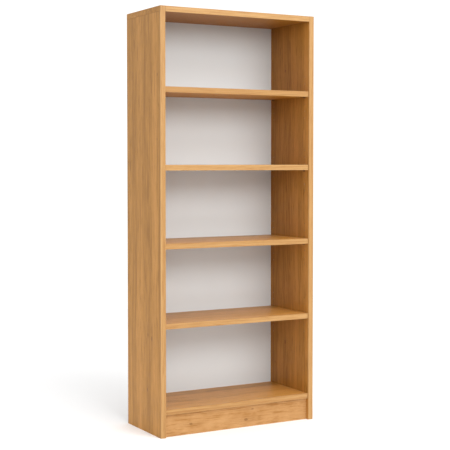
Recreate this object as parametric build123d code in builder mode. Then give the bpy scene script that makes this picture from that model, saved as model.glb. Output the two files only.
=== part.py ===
from build123d import *

import os

# Bookcase with four adjustable shelves, in oak laminate with a pale back panel.
# Millimetres. X runs from left to right, Y from front to back and Z up. The origin is on the
# floor, under the middle of the case.

# Overall size of the case
case_width = 800
case_depth = 350
case_height = 1900

# Boards and front lippings
board = 25
lipping = 5
lipping_round = 1.2
arris = 0.4

# Plinth and fixed bottom panel
plinth_height = 100
plinth_setback = 16
front_setback = 5

# Back panel, held in grooves in the sides and the top
back_thickness = 4
back_recess = 6
tongue = 9
groove_slack = 0.4

# Adjustable shelves: height of each underside above the floor, from the top one down
shelf_undersides = [1525.5, 1182, 835, 481]
shelf_end_gap = 1
shelf_back_gap = 2

# Shelf pins and the groups of holes that they fit, on the 32 mm system
hole_pitch = 32
holes_per_group = 7
hole_inset = 37
hole_radius = 2.5
hole_depth = 12
pin_radius = 2.45
pin_depth = 10
collar_radius = 4.5
collar_thickness = 1
peg_radius = 3.5
peg_length = 8
peg_flat = 2.5

# Glued beech dowels
dowel_radius = 4
dowel_length = 35
dowel_chamfer = 1
dowel_slack = 0.05
dowel_in_face = 13
dowel_end_room = 0.5
dowel_inset = 45

# Screws that hold the back panel to the bottom panel
screw_radius = 1.5
screw_length = 20
screw_head_radius = 3.2
screw_head_height = 1.8
screw_slack = 0.05
screw_recess_width = 0.9
screw_recess_depth = 1
screw_count = 7
screw_spacing = 115

# Planes and spans that follow from the sizes above
inside_width = case_width - 2 * board
inner_x = inside_width / 2
outer_x = case_width / 2
front_y = -case_depth / 2
rear_y = case_depth / 2
carcass_front_y = front_y + lipping
shelf_front_y = front_y + front_setback
shelf_board_front_y = shelf_front_y + lipping
back_front_y = rear_y - back_recess - back_thickness
side_height = case_height - board
bottom_top = plinth_height + board
plinth_front_y = front_y + plinth_setback
pin_rows_y = [front_y + hole_inset, rear_y - hole_inset]


def save(piece, name):
    """Label a finished piece and write it as a STEP file."""
    piece.label = name
    export_step(piece, f"parts/{name}.step")


def centres(first, last, count):
    """Evenly spaced places from first to last."""
    step = (last - first) / (count - 1)
    return [first + step * i for i in range(count)]


def hole_heights(underside):
    """Heights of the pin holes of one shelf: the middle one carries the shelf where it stands."""
    middle = underside - peg_flat
    reach = hole_pitch * (holes_per_group - 1) / 2
    return centres(middle - reach, middle + reach, holes_per_group)


# Places of the dowels, by joint
top_dowel_y = centres(carcass_front_y + dowel_inset, back_front_y - dowel_inset, 3)
bottom_dowel_y = centres(shelf_board_front_y + dowel_inset, back_front_y - dowel_inset, 3)
plinth_end_z = [plinth_height * 0.3, plinth_height * 0.7]
plinth_top_x = centres(-inner_x + 2 * dowel_inset, inner_x - 2 * dowel_inset, 4)
side_centre_x = inner_x + board / 2
plinth_centre_y = plinth_front_y + board / 2
bottom_centre_z = plinth_height + board / 2
dowel_in_edge = dowel_length - dowel_in_face
dowel_hole_radius = dowel_radius + dowel_slack
face_hole_depth = dowel_in_face + dowel_end_room
edge_hole_depth = dowel_in_edge + dowel_end_room


def side_board(hand):
    """One side; hand is -1 for the left side and 1 for the right."""
    depth = rear_y - carcass_front_y
    middle_y = (rear_y + carcass_front_y) / 2
    inner_face = Plane.YZ.offset(hand * inner_x)
    with BuildPart() as side:
        with BuildSketch(inner_face):
            with Locations((middle_y, side_height / 2)):
                Rectangle(depth, side_height)
        extrude(amount=hand * board)
        rear_edges = side.edges().filter_by(Axis.Z).group_by(Axis.Y)[-1]
        outer_face = side.faces().sort_by(Axis.X)[0 if hand < 0 else -1]
        top_outer_edge = outer_face.edges().filter_by(Axis.Y).sort_by(Axis.Z)[-1]
        chamfer([*rear_edges, top_outer_edge], length=arris)
        # through groove for the back panel
        with BuildSketch(inner_face):
            with Locations((back_front_y, side_height / 2)):
                Rectangle(back_thickness + groove_slack, side_height, align=(Align.MIN, Align.CENTER))
        extrude(amount=hand * (tongue + groove_slack), mode=Mode.SUBTRACT)
        # groups of shelf pin holes
        with BuildSketch(inner_face):
            with Locations([(y, z) for y in pin_rows_y for u in shelf_undersides for z in hole_heights(u)]):
                Circle(hole_radius)
        extrude(amount=hand * hole_depth, mode=Mode.SUBTRACT)
        # dowel holes for the bottom panel and the plinth
        with BuildSketch(inner_face):
            with Locations([(y, bottom_centre_z) for y in bottom_dowel_y]):
                Circle(dowel_hole_radius)
            with Locations([(plinth_centre_y, z) for z in plinth_end_z]):
                Circle(dowel_hole_radius)
        extrude(amount=hand * face_hole_depth, mode=Mode.SUBTRACT)
        # dowel holes for the top, in the upper edge
        with BuildSketch(Plane.XY.offset(side_height)):
            with Locations([(hand * side_centre_x, y) for y in top_dowel_y]):
                Circle(dowel_hole_radius)
        extrude(amount=-edge_hole_depth, mode=Mode.SUBTRACT)
    return side.part


def front_lipping(length, front, low, left, upright):
    """A strip glued on a board's front edge, its two long front edges rounded."""
    wide, high = (board, length) if upright else (length, board)
    with BuildPart() as strip:
        with BuildSketch(Plane.XZ.offset(-front)):
            with Locations((left, low)):
                Rectangle(wide, high, align=Align.MIN)
        extrude(amount=-lipping)
        long_axis = Axis.Z if upright else Axis.X
        fillet(strip.edges().filter_by(long_axis).group_by(Axis.Y)[0], radius=lipping_round)
    return strip.part


def dowels(places, direction, reach_back):
    """Dowels with chamfered ends, each starting reach_back behind its place along direction."""
    with BuildPart() as group:
        for place in places:
            start = Vector(*place) - Vector(*direction) * reach_back
            with BuildSketch(Plane(origin=start, z_dir=direction)):
                Circle(dowel_radius)
            extrude(amount=dowel_length)
        chamfer(group.edges().filter_by(GeomType.CIRCLE), length=dowel_chamfer)
    return group.part


def shelf_pins(underside):
    """The four pins of one shelf: shank in the hole, collar on the side, peg with a flat on top."""
    axis_z = underside - peg_flat
    with BuildPart() as pins:
        for hand in (-1, 1):
            places = [(y, axis_z) for y in pin_rows_y]
            with BuildSketch(Plane.YZ.offset(hand * inner_x)):
                with Locations(places):
                    Circle(pin_radius)
            extrude(amount=hand * pin_depth)
            with BuildSketch(Plane.YZ.offset(hand * inner_x)):
                with Locations(places):
                    Circle(collar_radius)
            extrude(amount=-hand * collar_thickness)
            with BuildSketch(Plane.YZ.offset(hand * (inner_x - collar_thickness))):
                with Locations(places):
                    Circle(peg_radius)
            extrude(amount=-hand * peg_length)
        # flat seat for the shelf
        with BuildSketch(Plane.XY.offset(underside)):
            Rectangle(inside_width, case_depth)
        extrude(amount=2 * collar_radius, mode=Mode.SUBTRACT)
    return pins.part


os.makedirs("parts", exist_ok=True)

# Sides and their lippings, full height
save(side_board(-1), "left_side")
save(side_board(1), "right_side")
save(front_lipping(case_height, front_y, 0, -outer_x, upright=True), "left_front_strip")
save(front_lipping(case_height, front_y, 0, inner_x, upright=True), "right_front_strip")

# Top panel, lying over the sides behind their lippings
with BuildPart() as top_panel:
    with BuildSketch(Plane.XY.offset(side_height)):
        with Locations((0, carcass_front_y)):
            Rectangle(case_width, rear_y - carcass_front_y, align=(Align.CENTER, Align.MIN))
    extrude(amount=board)
    upper_edges = top_panel.faces().sort_by(Axis.Z)[-1].edges()
    lower_edges = top_panel.faces().sort_by(Axis.Z)[0].edges()
    fillet(upper_edges.filter_by(Axis.Y) + upper_edges.sort_by(Axis.Y)[-1:], radius=2 * arris)
    chamfer(lower_edges.filter_by(Axis.Y) + lower_edges.sort_by(Axis.Y)[-1:], length=arris)
    with BuildSketch(Plane.XY.offset(side_height)):
        with Locations((0, back_front_y)):
            Rectangle(
                inside_width + 2 * (tongue + groove_slack),
                back_thickness + groove_slack,
                align=(Align.CENTER, Align.MIN),
            )
    extrude(amount=tongue + groove_slack, mode=Mode.SUBTRACT)
    with BuildSketch(Plane.XY.offset(side_height)):
        with Locations([(hand * side_centre_x, y) for hand in (-1, 1) for y in top_dowel_y]):
            Circle(dowel_hole_radius)
    extrude(amount=face_hole_depth, mode=Mode.SUBTRACT)
save(top_panel.part, "top_panel")
save(front_lipping(inside_width, front_y, side_height, -inner_x, upright=False), "top_front_strip")

# Fixed bottom panel
with BuildPart() as bottom_panel:
    with BuildSketch(Plane.XY.offset(plinth_height)):
        with Locations((0, shelf_board_front_y)):
            Rectangle(inside_width, back_front_y - shelf_board_front_y, align=(Align.CENTER, Align.MIN))
    extrude(amount=board)
    for hand in (-1, 1):
        with BuildSketch(Plane.YZ.offset(hand * inner_x)):
            with Locations([(y, bottom_centre_z) for y in bottom_dowel_y]):
                Circle(dowel_hole_radius)
        extrude(amount=-hand * edge_hole_depth, mode=Mode.SUBTRACT)
    with BuildSketch(Plane.XY.offset(plinth_height)):
        with Locations([(x, plinth_centre_y) for x in plinth_top_x]):
            Circle(dowel_hole_radius)
    extrude(amount=face_hole_depth, mode=Mode.SUBTRACT)
    with BuildSketch(Plane.XZ.offset(-back_front_y)):
        with GridLocations(screw_spacing, 1, screw_count, 1):
            with Locations((0, bottom_centre_z)):
                Circle(screw_radius + screw_slack)
    extrude(amount=screw_length - back_thickness + dowel_end_room, mode=Mode.SUBTRACT)
save(bottom_panel.part, "bottom_panel")
bottom_strip = front_lipping(inside_width, shelf_front_y, plinth_height, -inner_x, upright=False)
save(bottom_strip, "bottom_front_strip")

# Plinth board under the bottom panel
with BuildPart() as kick_plate:
    with BuildSketch(Plane.XY):
        with Locations((0, plinth_front_y)):
            Rectangle(inside_width, board, align=(Align.CENTER, Align.MIN))
    extrude(amount=plinth_height)
    for hand in (-1, 1):
        with BuildSketch(Plane.YZ.offset(hand * inner_x)):
            with Locations([(plinth_centre_y, z) for z in plinth_end_z]):
                Circle(dowel_hole_radius)
        extrude(amount=-hand * edge_hole_depth, mode=Mode.SUBTRACT)
    with BuildSketch(Plane.XY.offset(plinth_height)):
        with Locations([(x, plinth_centre_y) for x in plinth_top_x]):
            Circle(dowel_hole_radius)
    extrude(amount=-edge_hole_depth, mode=Mode.SUBTRACT)
save(kick_plate.part, "kick_plate")

# Back panel: its edges are tongues in the grooves, its foot covers the bottom panel's rear edge
with BuildPart() as back_panel:
    with BuildSketch(Plane.XZ.offset(-back_front_y)):
        with Locations((0, plinth_height)):
            Rectangle(
                inside_width + 2 * tongue,
                side_height + tongue - plinth_height,
                align=(Align.CENTER, Align.MIN),
            )
    extrude(amount=-back_thickness)
    with BuildSketch(Plane.XZ.offset(-back_front_y)):
        with GridLocations(screw_spacing, 1, screw_count, 1):
            with Locations((0, bottom_centre_z)):
                Circle(screw_radius + screw_slack)
    extrude(amount=-back_thickness, mode=Mode.SUBTRACT)
save(back_panel.part, "back_panel")

# Pan-head screws with a cross recess
with BuildPart() as back_panel_screws:
    head_seat = Plane.XZ.offset(-(back_front_y + back_thickness))
    head_top = Plane.XZ.offset(-(back_front_y + back_thickness + screw_head_height))
    with BuildSketch(head_seat):
        with GridLocations(screw_spacing, 1, screw_count, 1):
            with Locations((0, bottom_centre_z)):
                Circle(screw_radius)
    extrude(amount=screw_length)
    with BuildSketch(head_seat):
        with GridLocations(screw_spacing, 1, screw_count, 1):
            with Locations((0, bottom_centre_z)):
                Circle(screw_head_radius)
    extrude(amount=-screw_head_height)
    rims = back_panel_screws.edges().filter_by(GeomType.CIRCLE).group_by(Axis.Y)[-1]
    fillet(rims, radius=screw_head_height / 2)
    with BuildSketch(head_top):
        with GridLocations(screw_spacing, 1, screw_count, 1):
            with Locations((0, bottom_centre_z)):
                Rectangle(screw_head_radius, screw_recess_width)
                Rectangle(screw_recess_width, screw_head_radius)
    extrude(amount=screw_recess_depth, mode=Mode.SUBTRACT)
save(back_panel_screws.part, "back_panel_screws")

# Dowels of the fixed joints
top_places = [(hand * side_centre_x, y, side_height) for hand in (-1, 1) for y in top_dowel_y]
save(dowels(top_places, (0, 0, -1), dowel_in_face), "top_dowels")
left_places = [(-inner_x, y, bottom_centre_z) for y in bottom_dowel_y]
right_places = [(inner_x, y, bottom_centre_z) for y in bottom_dowel_y]
save(dowels(left_places, (1, 0, 0), dowel_in_face), "bottom_left_dowels")
save(dowels(right_places, (-1, 0, 0), dowel_in_face), "bottom_right_dowels")
left_places = [(-inner_x, plinth_centre_y, z) for z in plinth_end_z]
right_places = [(inner_x, plinth_centre_y, z) for z in plinth_end_z]
save(dowels(left_places, (1, 0, 0), dowel_in_face), "kick_left_dowels")
save(dowels(right_places, (-1, 0, 0), dowel_in_face), "kick_right_dowels")
plinth_top_places = [(x, plinth_centre_y, plinth_height) for x in plinth_top_x]
save(dowels(plinth_top_places, (0, 0, -1), dowel_in_face), "kick_top_dowels")

# Adjustable shelves, numbered from the top: board, front lipping and four pins each
shelf_width = inside_width - 2 * shelf_end_gap
for number, underside in enumerate(shelf_undersides, start=1):
    with BuildPart() as shelf:
        with BuildSketch(Plane.XY.offset(underside)):
            with Locations((0, shelf_board_front_y)):
                Rectangle(
                    shelf_width,
                    back_front_y - shelf_back_gap - shelf_board_front_y,
                    align=(Align.CENTER, Align.MIN),
                )
        extrude(amount=board)
        chamfer(shelf.edges().filter_by(Axis.X).group_by(Axis.Y)[-1], length=arris)
    save(shelf.part, f"shelf_{number}")
    strip = front_lipping(shelf_width, shelf_front_y, underside, -shelf_width / 2, upright=False)
    save(strip, f"shelf_{number}_front_strip")
    save(shelf_pins(underside), f"shelf_{number}_pins")
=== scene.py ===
"""Bookcase with four adjustable shelves, in honey oak laminate with a pale back panel."""

import math

import bpy
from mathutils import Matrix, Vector


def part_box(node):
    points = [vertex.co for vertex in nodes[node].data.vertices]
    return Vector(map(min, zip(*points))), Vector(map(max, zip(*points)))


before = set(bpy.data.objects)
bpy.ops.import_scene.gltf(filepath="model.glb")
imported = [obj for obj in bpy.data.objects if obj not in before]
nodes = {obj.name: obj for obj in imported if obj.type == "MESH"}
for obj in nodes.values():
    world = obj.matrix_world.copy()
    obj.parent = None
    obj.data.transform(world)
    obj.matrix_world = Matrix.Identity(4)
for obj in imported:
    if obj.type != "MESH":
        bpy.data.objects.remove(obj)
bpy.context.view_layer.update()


# ---------------------------------------------------------------------------------------------
# Sides: 25 mm chipboard faced on both sides with honey oak laminate, whose grain stands upright.
# The sheets have soft heart bands, fine pores and a few small knots, and the sawn board shows on
# the rear and lower edges and inside the shelf pin holes.

LAMINATE_DARK = (0.3, 0.13, 0.017, 1)
LAMINATE_MIDDLE = (0.42, 0.193, 0.034, 1)
LAMINATE_LIGHT = (0.54, 0.255, 0.06, 1)
KNOT_COLOUR = (0.15, 0.058, 0.012, 1)
JOINT_COLOUR = (0.11, 0.05, 0.015, 1)
JOINT_HALF_WIDTH = 0.0009
CORE_DARK = (0.16, 0.095, 0.045, 1)
CORE_LIGHT = (0.5, 0.36, 0.21, 1)
LAMINATE_ROUGHNESS = 0.38
LAMINATE_GLOSS = 0.2
FACED_SLOPE = 0.6
LOOKS_DOWN_SLOPE = -0.5
PORE_SHADE = 0.3
KNOT_SHADE = 0.6
KNOT_HALO_SHADE = 0.12
JOINT_SHADE = 0.7
RELIEF_POLISH = 0.12
UNDERSIDE_DULLING = 0.1
RAW_BOARD_DULLING = 0.4
GRAIN_RELIEF = 0.12
GRAIN_DEPTH = 0.0006
QUARTER_TURN = math.radians(90)
TURN_GRAIN = {"X": (0, 0, 0), "Y": (0, 0, -QUARTER_TURN), "Z": (0, QUARTER_TURN, 0)}


def put(tree, kind, inputs=None, **settings):
    """Adds a node. An input given as a socket is linked, and any other is set."""
    node = tree.nodes.new(kind)
    for name, value in settings.items():
        setattr(node, name, value)
    for key, value in (inputs or {}).items():
        if isinstance(value, bpy.types.NodeSocket):
            tree.links.new(value, node.inputs[key])
        else:
            node.inputs[key].default_value = value
    return node


def vector_math(tree, operation, first, second):
    node = put(tree, "ShaderNodeVectorMath", {0: first, 1: second}, operation=operation)
    return node.outputs["Value" if operation == "LENGTH" else "Vector"]


def math_node(tree, operation, first, second=0.0, third=0.0):
    inputs = {0: first, 1: second, 2: third}
    return put(tree, "ShaderNodeMath", inputs, operation=operation).outputs[0]


def stretched_noise(tree, vector, scale, detail, roughness=0.5):
    """Noise whose scale along, across and through the grain is given in cells per metre."""
    stretched = vector_math(tree, "MULTIPLY", vector, scale)
    inputs = {"Vector": stretched, "Scale": 1.0, "Detail": detail, "Roughness": roughness}
    return put(tree, "ShaderNodeTexNoise", inputs)


def soft_step(tree, value, low, high, out_low=0.0, out_high=1.0):
    inputs = {"Value": value, "From Min": low, "From Max": high}
    inputs |= {"To Min": out_low, "To Max": out_high}
    return put(tree, "ShaderNodeMapRange", inputs, interpolation_type="SMOOTHSTEP").outputs[0]


def new_group(name, inputs, outputs):
    """An empty node group; inputs and outputs are name to socket type."""
    tree = bpy.data.node_groups.new(name, "ShaderNodeTree")
    for socket_name, kind in inputs.items():
        tree.interface.new_socket(name=socket_name, in_out="INPUT", socket_type=kind)
    for socket_name, kind in outputs.items():
        tree.interface.new_socket(name=socket_name, in_out="OUTPUT", socket_type=kind)
    return tree, tree.nodes.new("NodeGroupInput").outputs, tree.nodes.new("NodeGroupOutput").inputs


# The figure's noises, in cells per metre along, across and through the grain
WANDER_CELLS = (1.1, 6, 6)
BROAD_CELLS = (0.45, 9, 9)
GROWTH_CELLS = (0.9, 46, 46)
CLOUD_CELLS = (15, 24, 24)
STREAK_CELLS = (7, 260, 260)
FINE_CELLS = (22, 1100, 1100)
DASH_CELLS = (8, 150, 150)
PORE_CELLS = (38, 900, 900)
WANDER = 0.06
BROAD_SHARE = 0.5
STREAK_SHARE = 0.6
FINE_SHARE = 0.3
DASH_SHARE = 0.55
FIBRE_LEVEL = 0.04
MIDDLE_TONE = 0.5


def build_oak_figure():
    """Oak figure for grain along X: bands of the tree's growth, fibres and short pores."""
    tree, given, result = new_group(
        "oak_figure",
        {
            "Vector": "NodeSocketVector",
            "Bands": "NodeSocketFloat",
            "Fibres": "NodeSocketFloat",
            "Clouds": "NodeSocketFloat",
        },
        {"Tone": "NodeSocketFloat", "Pores": "NodeSocketFloat", "Height": "NodeSocketFloat"},
    )
    wander = stretched_noise(tree, given["Vector"], WANDER_CELLS, 2).outputs["Color"]
    wander = vector_math(tree, "SUBTRACT", wander, (0.5, 0.5, 0.5))
    wander = vector_math(tree, "MULTIPLY", wander, (0, WANDER, WANDER))
    flow = vector_math(tree, "ADD", given["Vector"], wander)
    broad = stretched_noise(tree, flow, BROAD_CELLS, 1).outputs[0]
    growth = stretched_noise(tree, flow, GROWTH_CELLS, 6, 0.74).outputs[0]
    cloudy = stretched_noise(tree, flow, CLOUD_CELLS, 4, 0.62).outputs[0]
    streaks = stretched_noise(tree, flow, STREAK_CELLS, 2, 0.6).outputs[0]
    fine = stretched_noise(tree, flow, FINE_CELLS, 1).outputs[0]
    dashes = stretched_noise(tree, flow, DASH_CELLS, 3, 0.65).outputs[0]
    banding = math_node(tree, "MULTIPLY_ADD", broad, BROAD_SHARE, growth)
    banding = math_node(tree, "SUBTRACT", banding, 0.75)
    banding = math_node(tree, "MULTIPLY", banding, given["Bands"])
    clouds = math_node(tree, "MULTIPLY", math_node(tree, "SUBTRACT", cloudy, 0.5), given["Clouds"])
    fibres = math_node(tree, "MULTIPLY_ADD", streaks, STREAK_SHARE, -0.3)
    fibres = math_node(tree, "MULTIPLY_ADD", fine, FINE_SHARE, fibres)
    dashes = soft_step(tree, dashes, 0.53, 0.64)
    fibres = math_node(tree, "MULTIPLY_ADD", dashes, -DASH_SHARE, fibres)
    fibres = math_node(tree, "SUBTRACT", fibres, FIBRE_LEVEL)
    fibres = math_node(tree, "MULTIPLY", fibres, given["Fibres"])
    tone = math_node(tree, "ADD", math_node(tree, "ADD", banding, fibres), clouds)
    tone = math_node(tree, "ADD", tone, MIDDLE_TONE)
    pores = stretched_noise(tree, flow, PORE_CELLS, 1).outputs[0]
    pores = soft_step(tree, pores, 0.6, 0.74)
    height = math_node(tree, "MULTIPLY_ADD", pores, -0.8, streaks)
    tree.links.new(tone, result["Tone"])
    tree.links.new(pores, result["Pores"])
    tree.links.new(height, result["Height"])
    return tree


KNOT_ALONG = 0.55
KNOT_BEND_ALONG = 0.16
KNOT_REACH = 4.0


def length(tree, vector):
    return vector_math(tree, "LENGTH", vector, (0, 0, 0))


def build_knot():
    """A pin knot: it darkens its own spot and bends the grain round itself."""
    tree, given, result = new_group(
        "knot",
        {"Vector": "NodeSocketVector", "Place": "NodeSocketVector", "Radius": "NodeSocketFloat"},
        {"Vector": "NodeSocketVector", "Mask": "NodeSocketFloat", "Halo": "NodeSocketFloat"},
    )
    away = vector_math(tree, "SUBTRACT", given["Vector"], given["Place"])
    ragged = stretched_noise(tree, given["Vector"], (160, 260, 260), 2).outputs[0]
    shape = vector_math(tree, "MULTIPLY", away, (KNOT_ALONG, 1, 1))
    distance = math_node(tree, "DIVIDE", length(tree, shape), given["Radius"])
    core = math_node(tree, "ADD", distance, math_node(tree, "MULTIPLY_ADD", ragged, 1.2, -0.6))
    mask = soft_step(tree, core, 1.15, 0.45)
    stretched = vector_math(tree, "MULTIPLY", away, (KNOT_BEND_ALONG, 1, 1))
    reach = math_node(tree, "DIVIDE", length(tree, stretched), given["Radius"])
    halo = soft_step(tree, reach, KNOT_REACH, 0.0)
    sideways = vector_math(tree, "MULTIPLY", away, (0, 1, 1))
    sideways = put(tree, "ShaderNodeVectorMath", {0: sideways}, operation="NORMALIZE").outputs[0]
    push = {0: sideways, "Scale": math_node(tree, "MULTIPLY", halo, given["Radius"])}
    push = put(tree, "ShaderNodeVectorMath", push, operation="SCALE").outputs[0]
    bent = vector_math(tree, "SUBTRACT", given["Vector"], push)
    tree.links.new(bent, result["Vector"])
    tree.links.new(mask, result["Mask"])
    tree.links.new(halo, result["Halo"])
    return tree


HEART_AND_LIGHT_WANDER = 0.05
HEART_AND_LIGHT_FRAY = 1.0
HEART_AND_LIGHT_FADE = 0.3
PATCH_FAINT = 0.6
PATCH_STRONG = 1.4


def build_heart_and_light_band():
    """A wandering band along the grain, of heartwood and of painted shade and painted light
    laid across a board; Span is where it begins and ends.
    """
    tree, given, result = new_group(
        "heart_and_light_band",
        {
            "Vector": "NodeSocketVector",
            "Place": "NodeSocketVector",
            "Width": "NodeSocketFloat",
            "Span": "NodeSocketFloat",
        },
        {"Mask": "NodeSocketFloat"},
    )
    wobble = stretched_noise(tree, given["Vector"], (2.2, 3, 3), 2).outputs["Color"]
    wobble = vector_math(tree, "SUBTRACT", wobble, (0.5, 0.5, 0.5))
    wobble = vector_math(tree, "MULTIPLY", wobble, (0, HEART_AND_LIGHT_WANDER, HEART_AND_LIGHT_WANDER))
    away = vector_math(tree, "SUBTRACT", given["Vector"], given["Place"])
    away = vector_math(tree, "ADD", away, wobble)
    across = length(tree, vector_math(tree, "MULTIPLY", away, (0, 1, 1)))
    across = math_node(tree, "DIVIDE", across, given["Width"])
    along = length(tree, vector_math(tree, "MULTIPLY", away, (1, 0, 0)))
    along = math_node(tree, "DIVIDE", along, given["Span"])
    frayed = stretched_noise(tree, given["Vector"], (3, 160, 160), 2).outputs[0]
    frayed = math_node(tree, "MULTIPLY_ADD", frayed, HEART_AND_LIGHT_FRAY, -0.5 * HEART_AND_LIGHT_FRAY)
    across = soft_step(tree, math_node(tree, "ADD", across, frayed), 1.0, 0.0)
    along = soft_step(tree, along, 1.0, HEART_AND_LIGHT_FADE)
    mask = math_node(tree, "MULTIPLY", across, along)
    patches = stretched_noise(tree, given["Vector"], (9, 30, 30), 3, 0.6).outputs[0]
    patches = soft_step(tree, patches, 0.3, 0.7, PATCH_FAINT, PATCH_STRONG)
    mask = math_node(tree, "MULTIPLY", mask, patches)
    tree.links.new(mask, result["Mask"])
    return tree


FLAKE_CELLS = (260, 420, 420)
FLAKE_CLOUD_CELLS = (40, 90, 90)
FLAKE_SHARE = 0.7


def build_board_core():
    """Sawn chipboard: pressed flakes a few millimetres long, darker in the gaps between them."""
    tree, given, result = new_group(
        "board_core",
        {"Vector": "NodeSocketVector"},
        {"Fleck": "NodeSocketFloat"},
    )
    cells = {"Vector": vector_math(tree, "MULTIPLY", given["Vector"], FLAKE_CELLS), "Scale": 1.0}
    flakes = put(tree, "ShaderNodeTexVoronoi", cells).outputs["Color"]
    tint = put(tree, "ShaderNodeSeparateColor", {0: flakes}).outputs[0]
    cloud = stretched_noise(tree, given["Vector"], FLAKE_CLOUD_CELLS, 2).outputs[0]
    cloud = math_node(tree, "MULTIPLY", cloud, 0.3)
    fleck = math_node(tree, "MULTIPLY_ADD", tint, FLAKE_SHARE, cloud)
    tree.links.new(fleck, result["Fleck"])
    return tree


OAK_FIGURE = build_oak_figure()
KNOT = build_knot()
HEART_AND_LIGHT_BAND = build_heart_and_light_band()
BOARD_CORE = build_board_core()


def use_group(tree, group, inputs):
    return put(tree, "ShaderNodeGroup", inputs, node_tree=group).outputs


def blend_colour(tree, factor, first, second):
    inputs = {"Factor": factor, 6: first, 7: second}
    return put(tree, "ShaderNodeMix", inputs, data_type="RGBA").outputs[2]


def colour_ramp(tree, factor, stops):
    node = put(tree, "ShaderNodeValToRGB", {0: factor})
    ramp = node.color_ramp
    ramp.elements[0].position, ramp.elements[0].color = stops[0]
    ramp.elements[1].position, ramp.elements[1].color = stops[-1]
    for place, colour in stops[1:-1]:
        ramp.elements.new(place).color = colour
    return node.outputs[0]


def oak_material(
    name,
    grain,
    shift,
    colours,
    bands=1.0,
    fibres=1.0,
    clouds=0.0,
    narrow=1.0,
    knots=(),
    heart_and_light_bands=(),
    joints=(),
    core=None,
    lift=0.0,
    below=None,
):
    """Satin oak. grain is the axis it runs along and shift moves the piece to another part of the
    figure, whose bands narrow makes finer. A knot is (place, radius) and a band is (place, width,
    span, strength), in the case's own metres; a band of negative strength is pale. Some bands are
    heartwood and pale sapwood, and others are painted shade and painted light laid across a board.
    A joint is (axis, place), where a glue line shows. core is the axis whose faces alone are
    laminated, the rest showing the board. lift makes the whole piece paler, and below is (colour,
    share), painted light and shade on the faces that look down: that colour blended in by share.
    """
    material = bpy.data.materials.new(name)
    material.use_nodes = True
    tree = material.node_tree
    shader = tree.nodes["Principled BSDF"]
    place = put(tree, "ShaderNodeTexCoord").outputs
    turn = {"Vector": place["Object"], "Rotation": TURN_GRAIN[grain]}
    turned = put(tree, "ShaderNodeMapping", turn).outputs[0]
    flow = turned
    knot_mask = None
    for spot, radius in knots:
        along_grain = turned_place(spot, grain)
        knot = use_group(tree, KNOT, {"Vector": flow, "Place": along_grain, "Radius": radius})
        flow = knot["Vector"]
        shade = math_node(tree, "MULTIPLY_ADD", knot["Halo"], KNOT_HALO_SHADE, knot["Mask"])
        knot_mask = shade if knot_mask is None else math_node(tree, "MAXIMUM", knot_mask, shade)
    narrowed = vector_math(tree, "MULTIPLY", flow, (1, narrow, narrow))
    moved = vector_math(tree, "ADD", narrowed, shift)
    inputs = {"Vector": moved, "Bands": bands, "Fibres": fibres, "Clouds": clouds}
    figure = use_group(tree, OAK_FIGURE, inputs)
    tone = math_node(tree, "ADD", figure["Tone"], lift)
    # Each band darkens the tone by its strength, and a negative strength lightens it: heartwood and
    # sapwood, and on some boards painted shade and painted light.
    for spot, width, span, strength in heart_and_light_bands:
        inputs = {"Vector": turned, "Place": turned_place(spot, grain)}
        inputs |= {"Width": width, "Span": span}
        heart_and_light_mask = use_group(tree, HEART_AND_LIGHT_BAND, inputs)["Mask"]
        tone = math_node(tree, "MULTIPLY_ADD", heart_and_light_mask, -strength, tone)
    normal = put(tree, "ShaderNodeSeparateXYZ", {0: place["Normal"]}).outputs
    dark, middle, light = colours
    colour = colour_ramp(tree, tone, [(0.0, dark), (MIDDLE_TONE, middle), (1.0, light)])
    looks_down = math_node(tree, "LESS_THAN", normal["Z"], LOOKS_DOWN_SLOPE)
    # Faces that look down take the below colour: painted light and shade on the undersides.
    if below:
        painted_underside_colour, share = below
        painted_underside_share = math_node(tree, "MULTIPLY", looks_down, share)
        colour = blend_colour(tree, painted_underside_share, colour, painted_underside_colour)
    pores = math_node(tree, "MULTIPLY", figure["Pores"], PORE_SHADE)
    colour = blend_colour(tree, pores, colour, dark)
    if knot_mask is not None:
        knot_mask = math_node(tree, "MINIMUM", knot_mask, KNOT_SHADE)
        colour = blend_colour(tree, knot_mask, colour, KNOT_COLOUR)
    hollow_roughness = LAMINATE_ROUGHNESS + 0.5 * RELIEF_POLISH
    relief = figure["Height"]
    roughness = math_node(tree, "MULTIPLY_ADD", relief, -RELIEF_POLISH, hollow_roughness)
    if below:
        roughness = math_node(tree, "MULTIPLY_ADD", looks_down, UNDERSIDE_DULLING, roughness)
    spread = put(tree, "ShaderNodeSeparateXYZ", {0: place["Object"]}).outputs
    for axis, where in joints:
        off = math_node(tree, "ABSOLUTE", math_node(tree, "SUBTRACT", spread[axis], where))
        line = soft_step(tree, off, JOINT_HALF_WIDTH, 0.6 * JOINT_HALF_WIDTH, 0.0, JOINT_SHADE)
        colour = blend_colour(tree, line, colour, JOINT_COLOUR)
    if core:
        towards = math_node(tree, "ABSOLUTE", normal[core])
        faced = math_node(tree, "GREATER_THAN", towards, FACED_SLOPE)
        fleck = use_group(tree, BOARD_CORE, {"Vector": turned})["Fleck"]
        raw = blend_colour(tree, fleck, CORE_DARK, CORE_LIGHT)
        colour = blend_colour(tree, faced, raw, colour)
        sawn = math_node(tree, "SUBTRACT", 1.0, faced)
        roughness = math_node(tree, "MULTIPLY_ADD", sawn, RAW_BOARD_DULLING, roughness)
    bump = {"Height": relief, "Strength": GRAIN_RELIEF, "Distance": GRAIN_DEPTH}
    shader.inputs["Specular IOR Level"].default_value = LAMINATE_GLOSS
    tree.links.new(colour, shader.inputs["Base Color"])
    tree.links.new(roughness, shader.inputs["Roughness"])
    tree.links.new(put(tree, "ShaderNodeBump", bump).outputs[0], shader.inputs["Normal"])
    return material


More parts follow.
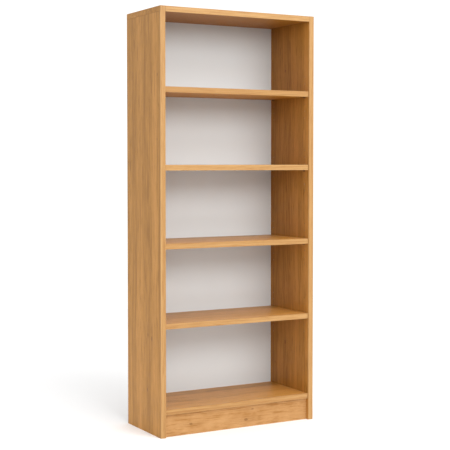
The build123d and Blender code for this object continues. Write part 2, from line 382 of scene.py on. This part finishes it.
def turned_place(spot, grain):
    """A place on the piece, in coordinates with the grain along X."""
    x, y, z = spot
    return {"X": (x, y, z), "Y": (y, -x, z), "Z": (z, y, -x)}[grain]


def finish_node(node, material):
    """Gives a structural piece its finish."""
    mesh = nodes[node].data
    mesh.materials.clear()
    mesh.materials.append(material)


LAMINATE = (LAMINATE_DARK, LAMINATE_MIDDLE, LAMINATE_LIGHT)
LEFT_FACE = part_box("left_side")[0].x
left_knots = [
    ((LEFT_FACE, -0.143, 1.603), 0.004),
    ((LEFT_FACE, -0.14, 1.32), 0.003),
    ((LEFT_FACE, -0.042, 0.443), 0.0045),
    ((LEFT_FACE, -0.081, 0.432), 0.006),
    ((LEFT_FACE, -0.035, 0.195), 0.005),
]
left_hearts = [
    ((LEFT_FACE, -0.052, 0.95), 0.07, 3.0, 0.3),
    ((LEFT_FACE, -0.05, 1.13), 0.03, 0.13, 0.4),
    ((LEFT_FACE, -0.055, 0.88), 0.03, 0.09, 0.4),
    ((LEFT_FACE, -0.094, 1.6), 0.018, 0.07, 0.4),
    ((LEFT_FACE, 0.075, 0.04), 0.018, 0.12, 0.4),
    ((LEFT_FACE, -0.175, 0.95), 0.06, 3.0, 0.25),
    ((LEFT_FACE, 0.045, 0.95), 0.06, 3.0, -0.12),
]
board_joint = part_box("top_panel")[0].z
finish_node(
    "left_side",
    oak_material(
        "left_side_oak",
        "Z",
        (3.1, 0.4, 0),
        LAMINATE,
        bands=2.2,
        fibres=0.9,
        clouds=0.3,
        knots=left_knots,
        heart_and_light_bands=left_hearts,
        joints=[("Z", board_joint)],
        core="X",
        lift=-0.08,
    ),
)
# The right side takes a darker copy of the laminate: painted shade, for the board whose inner face
# lies in the shade of the case.
SHADED_RIGHT_DARK = (0.275, 0.113, 0.011, 1)
SHADED_RIGHT_MIDDLE = (0.386, 0.169, 0.024, 1)
SHADED_RIGHT_LIGHT = (0.508, 0.227, 0.043, 1)
right_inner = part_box("right_side")[0].x
right_knots = [
    ((right_inner, 0.123, 0.231), 0.004),
    ((right_inner, 0.03, 0.342), 0.006),
    ((right_inner, 0.034, 1.66), 0.005),
]
# Two dark heart bands, and along the front edge a pale band that is painted light, brighter where
# more light reaches in at the front.
right_hearts_and_front_light = [
    ((right_inner, 0.13, 1.0), 0.06, 3.0, 0.3),
    ((right_inner, 0.005, 1.0), 0.05, 3.0, 0.22),
    ((right_inner, -0.175, 1.0), 0.09, 3.0, -0.7),
]
finish_node(
    "right_side",
    oak_material(
        "right_side_shaded_oak",
        "Z",
        (7.7, 1.9, 0),
        (SHADED_RIGHT_DARK, SHADED_RIGHT_MIDDLE, SHADED_RIGHT_LIGHT),
        bands=2.0,
        fibres=0.9,
        clouds=0.4,
        knots=right_knots,
        heart_and_light_bands=right_hearts_and_front_light,
        joints=[("Z", board_joint)],
        core="X",
    ),
)


# ---------------------------------------------------------------------------------------------
# Top panel: the same board laid over both sides, so its ends and the joint under them show on the
# flanks. Its grain runs along the case and its edges are taped. Its underside takes a paler,
# redder colour, which is painted light.

# Underside colour, paler and redder than the laminate: painted light on the top's underside.
TOP_UNDERSIDE_PAINTED_LIGHT = (0.85, 0.32, 0.01, 1)
finish_node(
    "top_panel",
    oak_material(
        "top_panel_oak",
        "X",
        (1.3, 5.2, 0.3),
        LAMINATE,
        bands=1.8,
        fibres=0.8,
        joints=[("Z", board_joint)],
        lift=-0.15,
        below=(TOP_UNDERSIDE_PAINTED_LIGHT, 0.9),
    ),
)


# ---------------------------------------------------------------------------------------------
# Fixed bottom panel: dowelled between the sides, with its grain running along the case.

bottom_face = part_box("bottom_panel")[1].z
# A dark band at the rear and a pale band along the front of the panel's top: painted shade and
# painted light. The short band is a heart streak.
bottom_heart_and_light_bands = [
    ((0, 0.12, bottom_face), 0.05, 3.0, 0.4),
    ((0, -0.17, bottom_face), 0.11, 3.0, -0.5),
    ((-0.1, -0.045, bottom_face), 0.02, 0.5, 0.25),
]
finish_node(
    "bottom_panel",
    oak_material(
        "bottom_panel_oak",
        "X",
        (4.6, 2.2, 0.7),
        LAMINATE,
        bands=2.4,
        fibres=1.0,
        clouds=0.3,
        heart_and_light_bands=bottom_heart_and_light_bands,
        # A paler tone than the sides: painted light on the panel's lit top.
        lift=0.22,
    ),
)


# ---------------------------------------------------------------------------------------------
# Kick plate: the plinth board under the bottom panel, cut from a livelier sheet whose cloudy
# figure has small knots, with its grain along the case.

KICK_DARK = (0.32, 0.142, 0.034, 1)
KICK_MIDDLE = (0.437, 0.226, 0.081, 1)
KICK_LIGHT = (0.53, 0.298, 0.122, 1)
kick_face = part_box("kick_plate")[0].y
kick_knots = [
    ((-0.244, kick_face, 0.046), 0.005),
    ((0.077, kick_face, 0.08), 0.004),
    ((0.0425, kick_face, 0.034), 0.006),
]
kick_blotches = [
    ((-0.22, kick_face, 0.03), 0.02, 0.06, 0.35),
    ((0.06, kick_face, 0.05), 0.03, 0.05, 0.35),
    ((-0.235, kick_face, 0.09), 0.015, 0.12, 0.35),
]
finish_node(
    "kick_plate",
    oak_material(
        "kick_plate_oak",
        "X",
        (8.1, 0.2, 0.4),
        (KICK_DARK, KICK_MIDDLE, KICK_LIGHT),
        bands=1.0,
        fibres=0.8,
        clouds=1.0,
        knots=kick_knots,
        heart_and_light_bands=kick_blotches,
    ),
)


# ---------------------------------------------------------------------------------------------
# Front lippings: 5 mm strips of solid oak glued on the front edges, paler and straighter in the
# grain than the sheets. The upright ones run the full height, and the top one sits between them.

EDGE_DARK = (0.337, 0.163, 0.053, 1)
EDGE_MIDDLE = (0.422, 0.226, 0.079, 1)
EDGE_LIGHT = (0.505, 0.297, 0.12, 1)
EDGE = (EDGE_DARK, EDGE_MIDDLE, EDGE_LIGHT)
UPRIGHT_STRIP_BANDS = 1.1
LYING_STRIP_BANDS = 2.6
STRIP_FIBRES = 1.2
STRIP_NARROWING = 3.0
# Each strip's grain and how much paler it is
strips = {
    "left_front_strip": ("Z", 0.0),
    "right_front_strip": ("Z", 0.0),
    "top_front_strip": ("X", 0.3),
    "bottom_front_strip": ("X", -0.2),
}
for count, (strip, (grain, lift)) in enumerate(strips.items()):
    shift = (2.9 * count, 0.7 * count, 0)
    low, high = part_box(strip)
    ends = [("X", low.x), ("X", high.x)] if grain == "X" else []
    bands = LYING_STRIP_BANDS if grain == "X" else UPRIGHT_STRIP_BANDS
    finish_node(
        strip,
        oak_material(
            f"{strip}_oak",
            grain,
            shift,
            EDGE,
            bands,
            fibres=STRIP_FIBRES,
            narrow=STRIP_NARROWING,
            joints=ends,
            lift=lift,
        ),
    )


# ---------------------------------------------------------------------------------------------
# Back panel: 4 mm hardboard, lacquered pale grey on its front and left brown and slightly fuzzy
# on its back. It sits in grooves and its foot is screwed to the bottom panel.

BACK_PAINT = (0.703, 0.75, 0.773, 1)
BACK_PAINT_DULL = (0.664, 0.71, 0.733, 1)
HARDBOARD_DARK = (0.17, 0.095, 0.05, 1)
HARDBOARD_LIGHT = (0.27, 0.165, 0.09, 1)
LOOKS_FORWARD_SLOPE = -0.5
HARDBOARD_ROUGHNESS = 0.8
LACQUER_POLISH = 0.25
PAINT_CLOUD_CELLS = (3, 3, 3)
FELT_CELLS = (240, 240, 240)
ORANGE_PEEL_CELLS = (420, 420, 420)


def back_material():
    material = bpy.data.materials.new("back_panel_lacquer")
    material.use_nodes = True
    tree = material.node_tree
    shader = tree.nodes["Principled BSDF"]
    place = put(tree, "ShaderNodeTexCoord").outputs
    cloud = stretched_noise(tree, place["Object"], PAINT_CLOUD_CELLS, 3).outputs[0]
    paint = blend_colour(tree, cloud, BACK_PAINT_DULL, BACK_PAINT)
    felt = stretched_noise(tree, place["Object"], FELT_CELLS, 4, 0.7).outputs[0]
    wood = blend_colour(tree, soft_step(tree, felt, 0.3, 0.7), HARDBOARD_DARK, HARDBOARD_LIGHT)
    normal = put(tree, "ShaderNodeSeparateXYZ", {0: place["Normal"]}).outputs["Y"]
    front = math_node(tree, "LESS_THAN", normal, LOOKS_FORWARD_SLOPE)
    orange_peel = stretched_noise(tree, place["Object"], ORANGE_PEEL_CELLS, 1).outputs[0]
    relief = math_node(tree, "MULTIPLY", orange_peel, 0.3)
    bump = put(tree, "ShaderNodeBump", {"Height": relief, "Strength": 0.1, "Distance": 0.0005})
    tree.links.new(blend_colour(tree, front, wood, paint), shader.inputs["Base Color"])
    roughness = math_node(tree, "MULTIPLY_ADD", front, -LACQUER_POLISH, HARDBOARD_ROUGHNESS)
    tree.links.new(roughness, shader.inputs["Roughness"])
    tree.links.new(bump.outputs[0], shader.inputs["Normal"])
    return material


finish_node("back_panel", back_material())


# ---------------------------------------------------------------------------------------------
# Adjustable shelves: four loose boards of one pattern, numbered from the top, each with its own
# oak lipping. They are cut from different parts of the sheet, so no two have the same figure.

# A deeper, redder colour for the shelves' undersides: painted shade.
SHELF_UNDERSIDE_PAINTED_SHADE = (0.42, 0.165, 0.001, 1)
for number in (1, 2, 3, 4):
    shift = (5.3 * number, 1.7 * number, 0.9 * number)
    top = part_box(f"shelf_{number}")[1].z
    # A dark band at the rear of each shelf top and a pale band along its front: painted shade and
    # painted light.
    shelf_painted_light_and_shade = [((0, 0.12, top), 0.05, 3.0, 0.4), ((0, -0.17, top), 0.11, 3.0, -0.5)]
    finish_node(
        f"shelf_{number}",
        oak_material(
            f"shelf_{number}_oak",
            "X",
            shift,
            LAMINATE,
            bands=2.4,
            fibres=1.0,
            clouds=0.3,
            heart_and_light_bands=shelf_painted_light_and_shade,
            # A paler tone than the sides: painted light on the lit shelf tops.
            lift=0.27,
            below=(SHELF_UNDERSIDE_PAINTED_SHADE, 0.6),
        ),
    )
    shift = (3.7 * number, 2.3 * number, 0.4 * number)
    finish_node(
        f"shelf_{number}_front_strip",
        oak_material(
            f"shelf_{number}_strip_oak",
            "X",
            shift,
            EDGE,
            bands=LYING_STRIP_BANDS,
            fibres=STRIP_FIBRES,
            narrow=STRIP_NARROWING,
        ),
    )


# ---------------------------------------------------------------------------------------------
# Shelf pins and back screws: turned steel, the pins bronzed and the screws zinc plated,
# with fine marks from turning and handling.


MARK_CELLS = (900, 900, 900)
MARK_DULLING = 0.2
BRONZE = (0.3, 0.17, 0.08, 1)
BRONZE_ROUGHNESS = 0.35
ZINC_GREY = (0.66, 0.68, 0.7, 1)
ZINC_ROUGHNESS = 0.3


def plated_steel(name, colour, roughness):
    material = bpy.data.materials.new(name)
    material.use_nodes = True
    tree = material.node_tree
    shader = tree.nodes["Principled BSDF"]
    place = put(tree, "ShaderNodeTexCoord").outputs["Object"]
    marks = stretched_noise(tree, place, MARK_CELLS, 2).outputs[0]
    dull = tuple(0.8 * part for part in colour[:3]) + (1,)
    tree.links.new(blend_colour(tree, marks, colour, dull), shader.inputs["Base Color"])
    worn = math_node(tree, "MULTIPLY_ADD", marks, MARK_DULLING, roughness)
    tree.links.new(worn, shader.inputs["Roughness"])
    shader.inputs["Metallic"].default_value = 1.0
    return material


BRONZED = plated_steel("bronzed_steel", BRONZE, BRONZE_ROUGHNESS)
ZINC = plated_steel("zinc_plate", ZINC_GREY, ZINC_ROUGHNESS)
for number in (1, 2, 3, 4):
    finish_node(f"shelf_{number}_pins", BRONZED)
finish_node("back_panel_screws", ZINC)


# ---------------------------------------------------------------------------------------------
# Dowels: beech, glued in the fixed joints and closed in by them, paler and finer than the oak.

BEECH_DARK = (0.45, 0.28, 0.15, 1)
BEECH_MIDDLE = (0.58, 0.39, 0.22, 1)
BEECH_LIGHT = (0.67, 0.48, 0.3, 1)
BEECH = (BEECH_DARK, BEECH_MIDDLE, BEECH_LIGHT)
upright_beech = oak_material("upright_beech", "Z", (1, 2, 3), BEECH, bands=0.3, fibres=1.0)
lying_beech = oak_material("lying_beech", "X", (2, 3, 1), BEECH, bands=0.3, fibres=1.0)
for joint in ("top_dowels", "kick_top_dowels"):
    finish_node(joint, upright_beech)
for joint in ("bottom_left_dowels", "bottom_right_dowels", "kick_left_dowels", "kick_right_dowels"):
    finish_node(joint, lying_beech)


# ---------------------------------------------------------------------------------------------
# Studio: a pale floor, a white surround that is dark low down in front, and soft lamps in front
# and overhead. The camera stands to the left at chest height and looks slightly down.

FLOOR_REACH = 8
FLOOR_COLOUR = (0.95, 0.95, 0.95, 1)
FLOOR_ROUGHNESS = 0.9
FLOOR_GLOSS = 0.1
bpy.ops.object.select_all(action="DESELECT")
bpy.ops.mesh.primitive_plane_add(size=FLOOR_REACH, location=(0, 0, 0))
floor = bpy.context.object
floor.name = "studio_floor"
floor_paint = bpy.data.materials.new("floor_paint")
floor_paint.use_nodes = True
floor_shader = floor_paint.node_tree.nodes["Principled BSDF"].inputs
floor_shader["Base Color"].default_value = FLOOR_COLOUR
floor_shader["Roughness"].default_value = FLOOR_ROUGHNESS
floor_shader["Specular IOR Level"].default_value = FLOOR_GLOSS
floor.data.materials.append(floor_paint)

SURROUND = 1.04
SURROUND_BELOW = 0.1
BACKDROP = 1.1
world = bpy.data.worlds.new("white_studio")
bpy.context.scene.world = world
world.use_nodes = True
surround = world.node_tree
direction = put(surround, "ShaderNodeTexCoord").outputs["Generated"]
direction = put(surround, "ShaderNodeSeparateXYZ", {0: direction}).outputs
below = soft_step(surround, direction["Y"], -0.4, 0.2, SURROUND_BELOW, SURROUND)
above = soft_step(surround, direction["Z"], -0.1, 0.02)
glow = put(surround, "ShaderNodeMix", {0: above, 2: below, 3: SURROUND}).outputs[0]
seen = put(surround, "ShaderNodeLightPath").outputs["Is Camera Ray"]
glow = put(surround, "ShaderNodeMix", {0: seen, 2: glow, 3: BACKDROP}).outputs[0]
surround.nodes["Background"].inputs["Color"].default_value = (1, 1, 1, 1)
surround.links.new(glow, surround.nodes["Background"].inputs["Strength"])

LAMP_AIM = Vector((0, -0.1, 0.95))
FRONT_LAMP = Vector((0.2, -4.8, 2.95))
FRONT_SIZE = (7.0, 2.0)
FRONT_WATTS = 150
HIGH_LAMP = Vector((0.3, -2.3, 4.0))
HIGH_SIZE = (2.6, 2.6)
HIGH_WATTS = 50
lamps = [(FRONT_LAMP, FRONT_SIZE, FRONT_WATTS), (HIGH_LAMP, HIGH_SIZE, HIGH_WATTS)]
for lamp_place, lamp_size, watts in lamps:
    bpy.ops.object.light_add(type="AREA", location=lamp_place)
    lamp = bpy.context.object
    lamp.data.shape = "ELLIPSE"
    lamp.data.size, lamp.data.size_y = lamp_size
    lamp.data.energy = watts
    lamp.rotation_euler = (LAMP_AIM - lamp_place).to_track_quat("-Z", "Y").to_euler()

CAMERA_PLACE = (-2.5924, -4.6509, 1.2166)
CAMERA_TURN = math.radians(29.33)
CAMERA_DIP = math.radians(2.34)
CAMERA_LENS = 91.14
CAMERA_SENSOR = 36
CAMERA_SHIFT = -0.035
camera_turns = (QUARTER_TURN - CAMERA_DIP, 0, -CAMERA_TURN)
bpy.ops.object.camera_add(location=CAMERA_PLACE, rotation=camera_turns)
camera = bpy.context.object
camera.data.lens = CAMERA_LENS
camera.data.sensor_width = CAMERA_SENSOR
camera.data.shift_y = CAMERA_SHIFT
bpy.context.scene.camera = camera
bpy.context.scene.view_settings.view_transform = "Standard"
